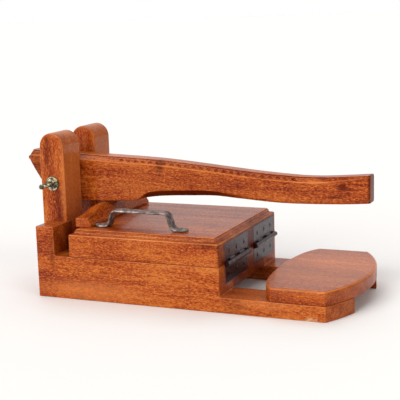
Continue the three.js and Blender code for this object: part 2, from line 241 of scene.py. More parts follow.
def lacquered_wood(name, grain, seed, tone, stains=()):
    """Glossy lacquer over red-brown hardwood; grain names the axis the fibres follow.
    A stain is (centre, reach, stretch, amount), dark above zero, bleached below it and, under -0.9,
    bare and chalky. Where a caller says so, a dark stain is painted shade and a pale one painted
    light."""
    look = Finish(name)
    tint = colours()
    shift = (seed * 0.37, seed * 0.61, seed * 0.23)

    def field(along, across, detail, rough, distortion=0.0):
        """Noise drawn out along the fibres"""
        place = look.mapped(along_grain(grain, along, across), shift)
        return look.noise(place, 1.0, detail, rough, distortion)

    figure = field(3.4, 26.0, 4.0, 0.55, 0.7)
    cloud = field(11.0, 30.0, 3.0, 0.6)
    streak = field(30.0, 330.0, 4.0, 0.65, 0.3)
    pore = field(120.0, 1250.0, 2.0, 0.6)
    fleck = field(300.0, 900.0, 3.0, 0.75)
    ring = look.out(
        "ShaderNodeTexWave", {"wave_type": "BANDS", "bands_direction": "DIAGONAL"},
        {"Vector": look.mapped(along_grain(grain, 1.2, 24.0), shift), "Scale": 1.0,
         "Distortion": 5.0, "Detail": 3.0, "Detail Scale": 1.3}, "Fac",
    )
    shade = figure * 0.75 + ring * 0.13 + streak + cloud * 0.75 + fleck * 2.3
    shade = (shade + (tone - 1.97)).clamped()
    body = look.mix(shade.band(0.12, 0.56), tint.wood_dark, tint.wood_mid)
    colour = look.mix(shade.band(0.46, 0.98), body, tint.wood_light)
    colour = look.mix(fleck.band(0.57, 0.71) * 0.85, colour, [c * 1.3 for c in tint.wood_light])
    dark = (pore.band(0.58, 0.72) * 0.6 + (1 - fleck.band(0.29, 0.43)) * 0.85).clamped()
    colour = look.mix(dark, colour, tint.wood_dark)
    # less coat under the dark stains, real stains and painted shade alike
    dulled_by_stain_and_shade = 0.0
    chalk = (0.78, 0.50, 0.28)
    for point, reach, stretch, amount in stains:
        away = look.distance(point, stretch) + (streak - 0.5) * (reach * 0.9)
        away = away + (cloud - 0.5) * (reach * 1.2)
        within = 1 - away.band(reach * 0.2, reach * 1.3)
        if amount > 0:
            colour = look.mix(within * amount, colour, [c * 0.5 for c in tint.wood_dark])
            dulled_by_stain_and_shade = within * (amount * 0.2) + dulled_by_stain_and_shade
        else:
            # pale: bleached wood, and painted light where a caller lightens a face
            pale = [c * 1.15 + 0.03 for c in tint.wood_light]
            if amount < -0.9:
                pale = chalk
                within = within * fleck.band(0.36, 0.60)
            colour = look.mix(within * -amount, colour, pale)
    # edge number: above zero worn edges that also carry a painted highlight; below zero painted shade
    # in recesses, grooves, chips and undersides
    edge = look.attribute("edge")
    # lighter along marked edges: edge wear and painted highlight
    rubbed = edge.band(0.25, 0.85) * (0.25 + 0.65 * cloud.band(0.30, 0.62))
    colour = look.mix(rubbed, colour, [c * 1.2 + 0.01 for c in tint.wood_light])
    # painted shade: darker, and with less coat, in recesses, grooves, chips and undersides
    painted_recess_shade = (0 - edge).band(0.15, 0.95) * 0.92
    colour = look.mix(painted_recess_shade, colour, [c * 0.55 for c in tint.wood_dark])
    height = streak * 0.5 - pore.band(0.58, 0.72) * 0.5 + fleck * 0.45
    rough = (0.34 + (streak - 0.5) * 0.14 + (cloud - 0.5) * 0.16).clamped()
    return look.surface({
        "Base Color": colour,
        "Roughness": rough,
        "Specular IOR Level": 0.06,
        "Coat Weight": (0.27 + (cloud - 0.5) * 0.35 - painted_recess_shade * 0.35 - dulled_by_stain_and_shade).clamped(),
        "Coat Roughness": 0.12,
        "Coat IOR": 1.5,
        "Normal": look.bump(height, 0.4, 0.00045),
    })


def bronzed_iron(name, seed):
    """Dark bronzed iron, rubbed bright in spots"""
    look = Finish(name)
    tint = colours()
    place = look.mapped((1, 1, 1), shift=(seed, seed * 0.7, seed * 0.4))
    mottle = look.noise(place, 140.0, 4.0, 0.6)
    rubbed = look.noise(place, 420.0, 3.0, 0.7)
    fine = look.noise(place, 2200.0, 2.0)
    rim = look.attribute("edge").band(0.2, 0.9)
    wear = mottle.band(0.54, 0.74) * 0.35 + rubbed.band(0.60, 0.75) * 0.45 + rim * 0.8
    wear = wear.clamped()
    colour = look.mix(wear, tint.iron, tint.iron_worn)
    rust = look.noise(place, 75.0, 3.0)
    colour = look.mix(rust.band(0.62, 0.80) * 0.5, colour, (0.16, 0.07, 0.035))
    return look.surface({
        "Base Color": colour,
        "Metallic": (0.78 + wear * 0.2).clamped(),
        "Roughness": (0.30 + (mottle - 0.5) * 0.3 + (fine - 0.5) * 0.1).clamped(),
        "Normal": look.bump(mottle * 0.7 + fine * 0.3, 0.30, 0.0004),
    })


def hammered_steel(name):
    """Forged strap with planished facets, bright on the high spots and scaled in the hollows"""
    look = Finish(name)
    tint = colours()
    place = look.mapped((1, 1, 1))
    dents = look.cells(place, 210.0, "SMOOTH_F1")
    pits = look.noise(place, 900.0, 3.0, 0.6)
    scale = look.noise(place, 160.0, 4.0, 0.65)
    bright = (dents.band(0.28, 0.62) * 0.6 + scale.band(0.50, 0.70) * 0.55).clamped()
    colour = look.mix(bright, tint.forged_dark, tint.forged)
    colour = look.mix(pits.band(0.62, 0.78) * 0.6, colour, (0.62, 0.60, 0.57))
    return look.surface({
        "Base Color": colour,
        "Metallic": 0.92,
        "Roughness": (0.62 - bright * 0.14 + (pits - 0.5) * 0.2).clamped(),
        "Normal": look.bump(dents * 0.8 + pits * 0.3, 0.55, 0.0006),
    })


def zinc_plate(name, seed):
    """Yellowish zinc plate with a faint spangle and tool marks"""
    look = Finish(name)
    tint = colours()
    place = look.mapped((1, 1, 1), shift=(seed, 0, 0))
    spangle = look.cells(place, 520.0)
    haze = look.noise(place, 230.0, 3.0, 0.6)
    marks = look.noise(look.mapped((300, 2600, 300)), 1.0, 2.0)
    painted_shade_patches = look.noise(place, 160.0, 2.0)
    colour = look.mix(haze.band(0.4, 0.7) * 0.6, tint.zinc, (0.30, 0.28, 0.22))
    # painted shade: dark patches over the plate
    colour = look.mix(painted_shade_patches.band(0.42, 0.54) * 0.88, colour, (0.035, 0.030, 0.025))
    colour = look.mix(marks.band(0.50, 0.72) * 0.7, colour, (0.09, 0.08, 0.065))
    return look.surface({
        "Base Color": colour,
        "Metallic": 0.95,
        "Roughness": (0.17 + spangle * 0.16 + (haze - 0.5) * 0.2).clamped(),
        "Normal": look.bump(marks * 0.6 + spangle * 0.4, 0.22, 0.0003),
    })


# ------------------------------------------------------------------ mesh helpers
def mesh_from(shape, name):
    """Finishes a bmesh: outward normals, smooth faces with sharp creases"""
    bmesh.ops.remove_doubles(shape, verts=shape.verts, dist=SAME_POINT)
    bmesh.ops.recalc_face_normals(shape, faces=shape.faces)
    mesh = bpy.data.meshes.new(name)
    shape.to_mesh(mesh)
    shape.free()
    return shaded(mesh)


def shaded(mesh):
    """Smooth shading that keeps broad faces flat and creases sharp"""
    mesh.shade_smooth()
    shape = bmesh.new()
    shape.from_mesh(mesh)
    shape.faces.ensure_lookup_table()
    limit = math.cos(math.radians(32))
    normals = []
    for face in shape.faces:
        own = face.normal
        for loop in face.loops:
            total = Vector()
            for other in loop.vert.link_faces:
                if other.normal.dot(own) > limit:
                    total += other.normal * other.calc_area()
            normals.append(total.normalized() if total.length > 0 else own.copy())
    shape.free()
    mesh.normals_split_custom_set(normals)
    return mesh


def new_object(name, data):
    """An object in the scene that holds a mesh, light or camera"""
    made = bpy.data.objects.new(name, data)
    bpy.context.scene.collection.objects.link(made)
    return made


def piece(name, mesh, body, nodes, material):
    """Puts a finished mesh on its body in place of its frame nodes"""
    made = new_object(name, mesh)
    mesh.materials.clear()
    mesh.materials.append(material)
    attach(made, body)
    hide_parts(*nodes)


def wooden_piece(mesh, body, node, grain, seed, tone, stains=()):
    """A mesh in place of one wooden frame node, in wood of its own"""
    wood = lacquered_wood(f"wood_{node}", grain, seed, tone, stains)
    piece(f"{node}_wood", mesh, body, [node], wood)


def wear_and_shade_layer(shape):
    """The number that each point carries for the finishes: above zero worn, and on the wood also a
    painted highlight; below zero painted shade
    """
    return shape.verts.layers.float.get("edge") or shape.verts.layers.float.new("edge")


def ring_faces(shape, rings, closed_ends=True, marks=None):
    """Skins a list of equal rings of points, with a cap on each end where closed_ends says so.
    A mark is the edge number of a whole ring, or a list with one for each of its points."""
    layer = wear_and_shade_layer(shape)
    rows = []
    for k, ring in enumerate(rings):
        row = []
        for i, point in enumerate(ring):
            vert = shape.verts.new(point)
            if marks is not None:
                mark = marks[k]
                vert[layer] = mark[i] if isinstance(mark, (list, tuple)) else mark
            row.append(vert)
        rows.append(row)
    for low, high in zip(rows, rows[1:]):
        for i in range(len(low)):
            j = (i + 1) % len(low)
            shape.faces.new((low[i], low[j], high[j], high[i]))
    if closed_ends:
        shape.faces.new(rows[0][::-1])
        shape.faces.new(rows[-1])


def skinned(name, rings, closed_ends=True, marks=None):
    """A mesh skinned over rings of points"""
    shape = bmesh.new()
    ring_faces(shape, rings, closed_ends, marks)
    return mesh_from(shape, name)


def ease_edges(shape, edges, width):
    """Rubs edges round and marks the middle of the rounding as worn, which the wood also paints as a
    highlight
    """
    layer = wear_and_shade_layer(shape)
    made = bmesh.ops.bevel(
        shape, geom=edges, offset=width, offset_type="OFFSET", segments=4, profile=0.5,
        affect="EDGES", clamp_overlap=True,
    )
    rounding = set(made["faces"])
    for vert in made["verts"]:
        if all(face in rounding for face in vert.link_faces):
            vert[layer] = 0.5


def eased_copy(node, width, skip=()):
    """A frame node's mesh with clean faces and rubbed edges, except inside the skipped boxes"""
    shape = bmesh.new()
    shape.from_mesh(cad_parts[node].data)
    bmesh.ops.remove_doubles(shape, verts=shape.verts, dist=SAME_POINT)
    bmesh.ops.dissolve_limit(
        shape, angle_limit=math.radians(0.3), verts=shape.verts, edges=shape.edges
    )
    edges = []
    for edge in shape.edges:
        if len(edge.link_faces) != 2 or edge.calc_face_angle(0) < CREASE:
            continue
        middle = (edge.verts[0].co + edge.verts[1].co) / 2
        inside = any(all(lo[k] <= middle[k] <= hi[k] for k in range(3)) for lo, hi in skip)
        if not inside and edge.calc_length() > 2 * width:
            edges.append(edge)
    ease_edges(shape, edges, width)
    return mesh_from(shape, node + "_eased")


def cut(mesh, tools, name):
    """Takes closed tool meshes out of a mesh"""
    body = new_object(name, mesh)
    helpers = []
    for tool in tools:
        helper = new_object(name + "_tool", tool)
        modifier = body.modifiers.new("cut", "BOOLEAN")
        modifier.operation = "DIFFERENCE"
        modifier.solver = "EXACT"
        modifier.object = helper
        helpers.append(helper)
    result = evaluated_mesh(body, name)
    for helper in [body, *helpers]:
        bpy.data.objects.remove(helper)
    return result


def evaluated_mesh(holder, name):
    """The mesh that an object's modifiers give"""
    bpy.context.view_layer.update()
    graph = bpy.context.evaluated_depsgraph_get()
    mesh = bpy.data.meshes.new_from_object(holder.evaluated_get(graph))
    mesh.name = name
    return shaded(mesh)


def box_mesh(low, high):
    """A plain box between two corners"""
    shape = bmesh.new()
    bmesh.ops.create_cube(shape, size=1.0)
    for vert in shape.verts:
        vert.co = Vector(low[k] if vert.co[k] < 0 else high[k] for k in range(3))
    return mesh_from(shape, "box")


def rounded_rectangle(x0, x1, y0, y1, radius, steps=4):
    """Outline of a rectangle with round corners, anticlockwise"""
    points = []
    corners = ((x1, y0, -90), (x1, y1, 0), (x0, y1, 90), (x0, y0, 180))
    for x, y, start in corners:
        cx = x - radius if x == x1 else x + radius
        cy = y - radius if y == y1 else y + radius
        for i in range(steps + 1):
            a = math.radians(start + 90 * i / steps)
            points.append((cx + radius * math.cos(a), cy + radius * math.sin(a)))
    return points


def axis_of(box):
    """(x, z) of the middle of a piece that lies along Y"""
    low, high = box
    return ((low.x + high.x) / 2, (low.z + high.z) / 2)


def round_ring(centre, y, sides, radius):
    """Points round an axis along Y; radius is a number or a function of the angle"""
    ring = []
    for i in range(sides):
        a = 2 * math.pi * i / sides
        r = radius(a) if callable(radius) else radius
        ring.append((centre[0] + r * math.cos(a), y, centre[1] + r * math.sin(a)))
    return ring


def rod_mesh(radius, centre, low, high, sides=28, ease=0.3 * MM):
    """A round bar along Y with eased ends"""
    worn = 0.6 * MM
    stops = ((low, radius - ease), (low + ease, radius), (low + ease + worn, radius),
             (high - ease - worn, radius), (high - ease, radius), (high, radius - ease))
    rings = [round_ring(centre, y, sides, r) for y, r in stops]
    return skinned("rod", rings, marks=(0.3, 0.9, 0.0, 0.0, 0.9, 0.3))


def bolt_hole_mesh(low, high):
    """A bar as wide as the bolt's hole that reaches past a box along Y"""
    past = 10 * MM
    axis = axis_of(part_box("washer_right"))
    return rod_mesh(sizes().bolt_hole, axis, low.y - past, high.y + past)


def curve(start, bend, end, steps):
    """Points of the quadratic curve from start to end"""
    start, bend, end = Vector(start), Vector(bend), Vector(end)
    points = []
    for i in range(steps + 1):
        t = i / steps
        points.append(start * (1 - t) ** 2 + bend * 2 * t * (1 - t) + end * t * t)
    return points


def join_meshes(meshes, name):
    """Several closed meshes as one"""
    shape = bmesh.new()
    for mesh in meshes:
        shape.from_mesh(mesh)
    return mesh_from(shape, name)


def node_group(label, sockets, result):
    """A geometry node group with named inputs, and their identifiers"""
    group = bpy.data.node_groups.new(label, "GeometryNodeTree")
    names = {}
    for name, kind in sockets:
        made = group.interface.new_socket(name=name, in_out="INPUT", socket_type=kind)
        names[name] = made.identifier
    group.interface.new_socket(name=result, in_out="OUTPUT", socket_type="NodeSocketGeometry")
    return group, names


def run_group(name, mesh, group, names, values):
    """The mesh that a node group makes from a mesh and from values by input name"""
    holder = new_object(name, mesh)
    modifier = holder.modifiers.new(name, "NODES")
    modifier.node_group = group
    for label, value in values.items():
        modifier[names[label]] = value
    made = evaluated_mesh(holder, name)
    bpy.data.objects.remove(holder)
    return made


def finish_group(tree, geometry, material):
    """Ends a geometry tree: real mesh, material on it, out"""
    real = tree.out("GeometryNodeRealizeInstances", inputs={0: geometry})
    painted = tree.out("GeometryNodeSetMaterial", inputs={"Geometry": real, "Material": material})
    tree.node("NodeGroupOutput", inputs={0: painted})


def hinge_recess(side):
    """Box round one hinge's recess in the bed's and lid's front"""
    low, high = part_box(f"hinge_{side}_lower_leaf")
    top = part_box(f"hinge_{side}_upper_leaf")[1]
    margin = 3 * MM
    return (
        (low.x - margin, low.y - margin, low.z - margin),
        (high.x + margin, high.y + margin, top.z + margin),
    )


# ------------------------------------------------------------------ operators
class PRESS_OT_rails(bpy.types.Operator):
    """Right and left side rails with eased edges"""

    bl_idname = "press.rails"
    bl_label = "Side rails"

    def execute(self, context):
        for side, seed in (("right", 1.0), ("left", 4.3)):
            mesh = eased_copy(f"rail_{side}", sizes().wood_ease, [hinge_recess(side)])
            low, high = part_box(f"rail_{side}")
            face, inner = (low.y, high.y) if side == "right" else (high.y, low.y)
            middle = (low.y + high.y) / 2
            stains = (
                ((low.x + 0.022, face, 0.060), 0.014, (2.2, 0.4, 0.55), 0.40),
                ((low.x + 0.080, face, 0.013), 0.050, (0.6, 0.4, 3.6), -0.42),
                ((high.x - 0.128, face, 0.010), 0.014, (0.7, 0.4, 1.0), 0.32),
                ((high.x - 0.090, face, 0.014), 0.024, (0.5, 0.4, 3.0), -0.32),
                ((high.x, middle, 0.009), 0.020, (1.0, 0.5, 1.0), 0.34),
                ((low.x + 0.026, inner, 0.068), 0.020, (2.5, 0.5, 0.6), 0.60),
                ((high.x - 0.038, face, 0.0015), 0.0062, (0.6, 0.4, 1.3), -0.95),
            )
            wooden_piece(mesh, "base", f"rail_{side}", "x", seed, 0.03, stains)
        return {"FINISHED"}


class PRESS_OT_bed(bpy.types.Operator):
    """Bed between the rails and the spacer at the cheeks' feet"""

    bl_idname = "press.bed"
    bl_label = "Bed and spacer"

    def execute(self, context):
        recesses = [hinge_recess("right"), hinge_recess("left")]
        bed = eased_copy("bed", 0.5 * sizes().wood_ease, recesses)
        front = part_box("bed")[1]
        # painted shade: darkens the bed's front face, which faces away from the light
        stain = ((front.x, 0.0, 0.5 * front.z), 0.030, (7.0, 0.2, 0.3), 0.62)
        wooden_piece(bed, "base", "bed", "x", 7.7, -0.12, [stain])
        spacer = eased_copy("cheek_spacer", 0.6 * sizes().wood_ease)
        piece("spacer_wood", spacer, "base", ["cheek_spacer"],
              lacquered_wood("wood_spacer", "y", 2.9, -0.08))
        return {"FINISHED"}


class PRESS_OT_cheeks(bpy.types.Operator):
    """Two upright cheeks with round tops"""

    bl_idname = "press.cheeks"
    bl_label = "Cheeks"

    def execute(self, context):
        arc_steps = 40
        for side, seed, tone in (("right", 11.2, 0.06), ("left", 5.6, 0.05)):
            low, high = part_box(f"cheek_{side}")
            radius = (high.x - low.x) / 2
            outline = [(low.x, low.z), (high.x, low.z)]
            for i in range(arc_steps + 1):
                a = math.pi * i / arc_steps
                outline.append((low.x + radius + radius * math.cos(a),
                                high.z - radius + radius * math.sin(a)))
            shape = bmesh.new()
            ring_faces(shape, [[(x, y, z) for x, z in outline] for y in (low.y, high.y)])
            bmesh.ops.recalc_face_normals(shape, faces=shape.faces)
            sharp = [e for e in shape.edges if e.calc_face_angle(0) > CREASE]
            ease_edges(shape, sharp, 1.6 * sizes().wood_ease)
            mesh = cut(mesh_from(shape, "cheek"), [bolt_hole_mesh(low, high)], f"cheek_{side}")
            middle = (low.y + high.y) / 2
            front = (high.x, middle, 0.70 * high.z)
            face = low.y if side == "right" else high.y
            # painted light: the first two make the front face and the round top paler; the last two
            # are dark marks
            stains = (
                (front, 0.030, (4.0, 0.5, 0.45), -0.50),
                (((low.x + high.x) / 2, middle, high.z), 0.022, (0.7, 0.6, 3.0), -0.40),
                ((low.x + 0.011, face, 0.172), 0.006, (1.1, 0.3, 0.20), 0.50),
                ((high.x - 0.009, face, 0.105), 0.006, (1.1, 0.3, 0.20), 0.45),
            )
            wooden_piece(mesh, "base", f"cheek_{side}", "z", seed, tone, stains)
        return {"FINISHED"}


class PRESS_OT_rest_board(bpy.types.Operator):
    """Bow-fronted rest board with a rounded upper edge"""

    bl_idname = "press.rest_board"
    bl_label = "Rest board"

    def execute(self, context):
        low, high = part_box("rest_board")
        outline = self.plan(low, high)
        radius = sizes().board_round
        lower = 0.9 * MM
        stops = [(lower, low.z), (lower * 0.3, low.z + lower * 0.3), (0.0, low.z + lower)]
        for i in range(6):
            a = math.pi / 2 * i / 5
            stops.append((radius * (1 - math.cos(a)), high.z - radius + radius * math.sin(a)))
        rings = [[(x, y, z) for x, y in self.inset(outline, d)] for d, z in stops]
        # edge numbers: painted shade along the lower edge; wear and painted highlight along the
        # rounded upper edge
        mesh = skinned("rest_board", rings, marks=(0, -0.4, 0, 0, 0.15, 0.75, 0.75, 0.3, 0))
        middle = ((low.x + high.x) / 2, 0.0, high.z)
        stain = (middle, 0.10, (1.0, 0.8, 7.0), -0.30)
        wooden_piece(mesh, "base", "rest_board", "x", 3.4, -0.03, [stain])
        return {"FINISHED"}

    def plan(self, low, high):
        """Outline in plan: bowed front, square sides, rounded back corners"""
        half = (high.y - low.y) / 2
        bow = 29.5 * MM
        side_back = low.x + 22.5 * MM
        corner = (low.x + 1.5 * MM, half - 20 * MM)
        radius = (half * half + bow * bow) / (2 * bow)
        sweep = math.asin(half / radius)
        points = []
        for i in range(41):
            a = -sweep + 2 * sweep * i / 40
            points.append((high.x - radius + radius * math.cos(a), radius * math.sin(a)))
        flank = curve((side_back, half), corner, (low.x, 0.0), 16)
        return points + flank + [Vector((x, -y)) for x, y in flank[-2::-1]]

    def inset(self, outline, depth):
        """Moves a closed outline inwards along its corner normals"""
        moved = []
        count = len(outline)
        for i, point in enumerate(outline):
            before = Vector(outline[i - 1])
            after = Vector(outline[(i + 1) % count])
            here = Vector(point)
            one = (here - before).normalized()
            two = (after - here).normalized()
            inward = (Vector((-one.y, one.x)) + Vector((-two.y, two.x))).normalized()
            stretch = max(0.5, inward.dot(Vector((-one.y, one.x))))
            moved.append(tuple(here + inward * depth / stretch))
        return moved


class PRESS_OT_lever(bpy.types.Operator):
    """Long lever: bevelled and scored along its top edges, with chips carved in the bevels"""

    bl_idname = "press.lever"
    bl_label = "Lever"

    def execute(self, context):
        low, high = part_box("lever")
        tree = self.frame_tree()
        stations = self.stations(tree, low, high)
        rings, marks = self.skin(stations, low, high)
        body = skinned("lever_body", rings, marks=marks)
        body = cut(body, [bolt_hole_mesh(low, high)], "lever_body")
        wood = self.wood(low, high)
        mesh = self.carved(body, stations, wood)
        piece("lever_wood", mesh, "lever", ["lever"], wood)
        return {"FINISHED"}

    def frame_tree(self):
        """The lever's frame, ready for rays"""
        shape = bmesh.new()
        shape.from_mesh(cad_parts["lever"].data)
        tree = BVHTree.FromBMesh(shape)
        shape.free()
        return tree

    def stations(self, tree, low, high):
        """(x, bottom, top, half thickness) along the lever, read from its frame"""
        count = sizes().lever_stations
        edge, off_middle = 1 * MM, 4 * MM
        rows = []
        for i in range(count + 1):
            x = low.x + edge + (high.x - low.x - 2 * edge) * i / count
            down = tree.ray_cast(Vector((x, off_middle, high.z + 1)), Vector((0, 0, -1)))[0]
            up = tree.ray_cast(Vector((x, off_middle, low.z - 1)), Vector((0, 0, 1)))[0]
            if down is None or up is None:
                raise RuntimeError("the lever's frame has a gap along its middle")
            level = up.z + 0.3 * (down.z - up.z)
            side = tree.ray_cast(Vector((x, -1, level)), Vector((0, 1, 0)))[0]
            rows.append((x, up.z, down.z, -side.y))
        return rows

    def skin(self, stations, low, high):
        """Cross sections of the whole lever, its two ends rubbed round"""
        ease = 1.1 * MM
        rings = []
        marks = []
        for x, bottom, top, half in stations:
            ring, worn = self.section(x, bottom, top, half, low, high)
            rings.append(ring)
            marks.append(worn)
        for first in (True, False):
            x, bottom, top, half = stations[0] if first else stations[-1]
            ring = rings[0] if first else rings[-1]
            level = (bottom + top) / 2
            step = -1 if first else 1
            for turn in (0.5, 1.0):
                out = ease * math.sin(turn * math.pi / 2) * 0.9
                less = ease * (1 - math.cos(turn * math.pi / 2))
                across = 1 - less / half
                upright = 1 - 2 * less / (top - bottom)
                moved = [
                    (px + step * out, py * across, level + (pz - level) * upright)
                    for px, py, pz in ring
                ]
                worn = 0.7 if turn < 1 else 0.0
                if first:
                    rings.insert(0, moved)
                    marks.insert(0, worn)
                else:
                    rings.append(moved)
                    marks.append(worn)
        return rings, marks

    def section(self, x, bottom, top, half, low, high):
        """One closed cross section and its marks, bevelled above and, past the block, below"""
        along = (x - low.x) / (high.x - low.x)
        tip, over, side = self.bevel_size(high.x - x, half)
        arch = self.swell(along, 0.346, 0.382) * (1 - self.swell(along, 0.52, 0.74))
        grip = self.swell(along, 0.35, 0.40)
        under = 0.6 * MM + grip * 1.5 * MM + arch * (sizes().lever_under - 2.1 * MM)
        inner = 0.5 * MM + grip * 1.2 * MM + arch * 3.2 * MM
        score = 0.6 * MM * min(1.0, tip * 1.5)
        slope = math.hypot(over, side)

        def bevel(t, depth=0.0):
            y = half - side * (1 - t) - depth * over / slope
            return (y, top - over * t - depth * side / slope)

        # painted shade under the arch, deepest in its middle
        painted_arch_shade = -0.75 * arch - 0.25
        # (across, height, edge number): painted highlight along the bevel band, its lower edge and
        # above the arch; painted shade in the score line and under the arch
        right = (
            (half - inner, bottom, painted_arch_shade),
            (half - inner * 0.15, bottom + under * 0.9, painted_arch_shade),
            (half, bottom + under + 0.4 * MM, 0.35 * arch),
            (half, top - over - 0.9 * MM, 0.1),
            (half - 0.12 * MM, top - over - 0.1 * MM, 1.0),
            (*bevel(0.90), 0.38),
            (*bevel(0.28), 0.25),
            (*bevel(0.22), -0.5),
            (*bevel(0.16, score), -1.0),
            (*bevel(0.10), -0.5),
            (*bevel(0.05), 0.45),
            (half - side - 0.35 * MM, top - 0.05 * MM, 0.7),
            (half - side - 1.3 * MM, top, 0.0),
        )
        ring = [(x, y, z) for y, z, worn in right]
        ring += [(x, -y, z) for y, z, worn in reversed(right)]
        marks = [worn for y, z, worn in right]
        return ring, marks + marks[::-1]

    def bevel_size(self, from_end, half):
        """1 along the lever and less near its grip end, with the top bevel's drop and reach in"""
        tip = min(1.0, from_end / (70 * MM))
        fade = 0.35 + 0.65 * tip
        return tip, sizes().lever_bevel * fade, 0.52 * half * fade

    def swell(self, value, start, end):
        """0 before start, 1 after end, smooth between"""
        t = min(1.0, max(0.0, (value - start) / (end - start)))
        return t * t * (3 - 2 * t)

    def carved(self, body, stations, wood):
        """Cuts the rows of chips with a node tree that runs along the two shoulders"""
        first, last = 0.295, 0.80
        low_x = stations[0][0]
        span = stations[-1][0] - low_x
        guide = bpy.data.meshes.new("chip_guide")
        verts = []
        edges = []
        for side in (1, -1):
            start = len(verts)
            for x, _, top, half in stations:
                along = (x - low_x) / span
                if first < along < last:
                    _, over, inward = self.bevel_size(stations[-1][0] - x, half)
                    verts.append((x, side * (half - 0.40 * inward), top - 0.60 * over))
            edges += [(i, i + 1) for i in range(start, len(verts) - 1)]
        guide.from_pydata(verts, edges, [])
        target = new_object("lever_body", body)
        values = {
            "Body": target, "Pitch": sizes().chip_pitch, "Length": sizes().chip_length,
            "Depth": sizes().chip_depth, "Finish": wood,
        }
        mesh = run_group("lever_carved", guide, *self.chip_tree(), values)
        bpy.data.objects.remove(target)
        return mesh

    def chip_tree(self):
        """Guide lines in; the body with a gouge chip taken out at every step along them"""
        sockets = [("Guide", "NodeSocketGeometry"), ("Body", "NodeSocketObject")]
        sockets += [(label, "NodeSocketFloat") for label in ("Pitch", "Length", "Depth")]
        sockets.append(("Finish", "NodeSocketMaterial"))
        group, names = node_group("Chip carving", sockets, "Carved")
        tree = Tree(group)
        given = tree.node("NodeGroupInput").outputs
        line = tree.out("GeometryNodeMeshToCurve", inputs={"Mesh": given["Guide"]})
        steps = tree.out("GeometryNodeResampleCurve", {"mode": "LENGTH"},
                         {"Curve": line, "Length": given["Pitch"]})
        depth = Socket(tree, given["Depth"])
        broad, deep = 1.5, 0.85
        radii = tree.out("ShaderNodeCombineXYZ", inputs={
            "X": Socket(tree, given["Length"]) * 0.5, "Y": depth * broad, "Z": depth * deep,
        })
        ball = tree.out("GeometryNodeMeshUVSphere",
                        inputs={"Segments": 12, "Rings": 8, "Radius": 1.0})
        # painted shade: each chip marks its hollow with the lowest edge number, so the wood darkens
        # there
        painted_chip_shade = tree.out("GeometryNodeStoreNamedAttribute", {"data_type": "FLOAT", "domain": "POINT"},
                        {"Geometry": ball, "Name": "edge", "Value": -1.0})
        turn = tree.out("FunctionNodeAlignRotationToVector", {"axis": "X"},
                        {"Vector": tree.out("GeometryNodeInputTangent")})
        slant = tree.out("FunctionNodeRotateRotation", {"rotation_space": "LOCAL"},
                         {"Rotation": turn, "Rotate By": (0.0, math.radians(13), 0.0)})
        chips = tree.out("GeometryNodeInstanceOnPoints", inputs={
            "Points": steps, "Instance": painted_chip_shade, "Rotation": slant, "Scale": radii,
        })
        body = tree.out("GeometryNodeObjectInfo", inputs={"Object": given["Body"]}, output="Geometry")
        carved = tree.out("GeometryNodeMeshBoolean", {"operation": "DIFFERENCE", "solver": "EXACT"}, {
            "Mesh 1": body, "Mesh 2": tree.out("GeometryNodeRealizeInstances", inputs={0: chips}),
        })
        finish_group(tree, carved, given["Finish"])
        return group, names

    def wood(self, low, high):
        """The lever's wood, with a knot by the arch and a small one in the grip"""
        span = high.x - low.x
        arch = ((low.x + 0.418 * span, low.y, high.z - 0.013), 0.0062, (1.0, 0.35, 0.40), 0.75)
        grip = ((low.x + 0.928 * span, low.y + 0.008, low.z + 0.030), 0.0035, (0.6, 0.35, 1.0), 0.8)
        below = ((low.x + 0.905 * span, low.y + 0.008, low.z + 0.018), 0.004, (0.25, 0.35, 2.0), 0.6)
        tail = ((low.x + 0.008, low.y, high.z - 0.026), 0.024, (0.9, 0.3, 0.6), 0.45)
        end = ((high.x, 0.0, high.z - 0.036), 0.026, (8.0, 0.3, 0.25), 0.85)
        return lacquered_wood("wood_lever", "x", 9.1, 0.04, (arch, grip, below, tail, end))


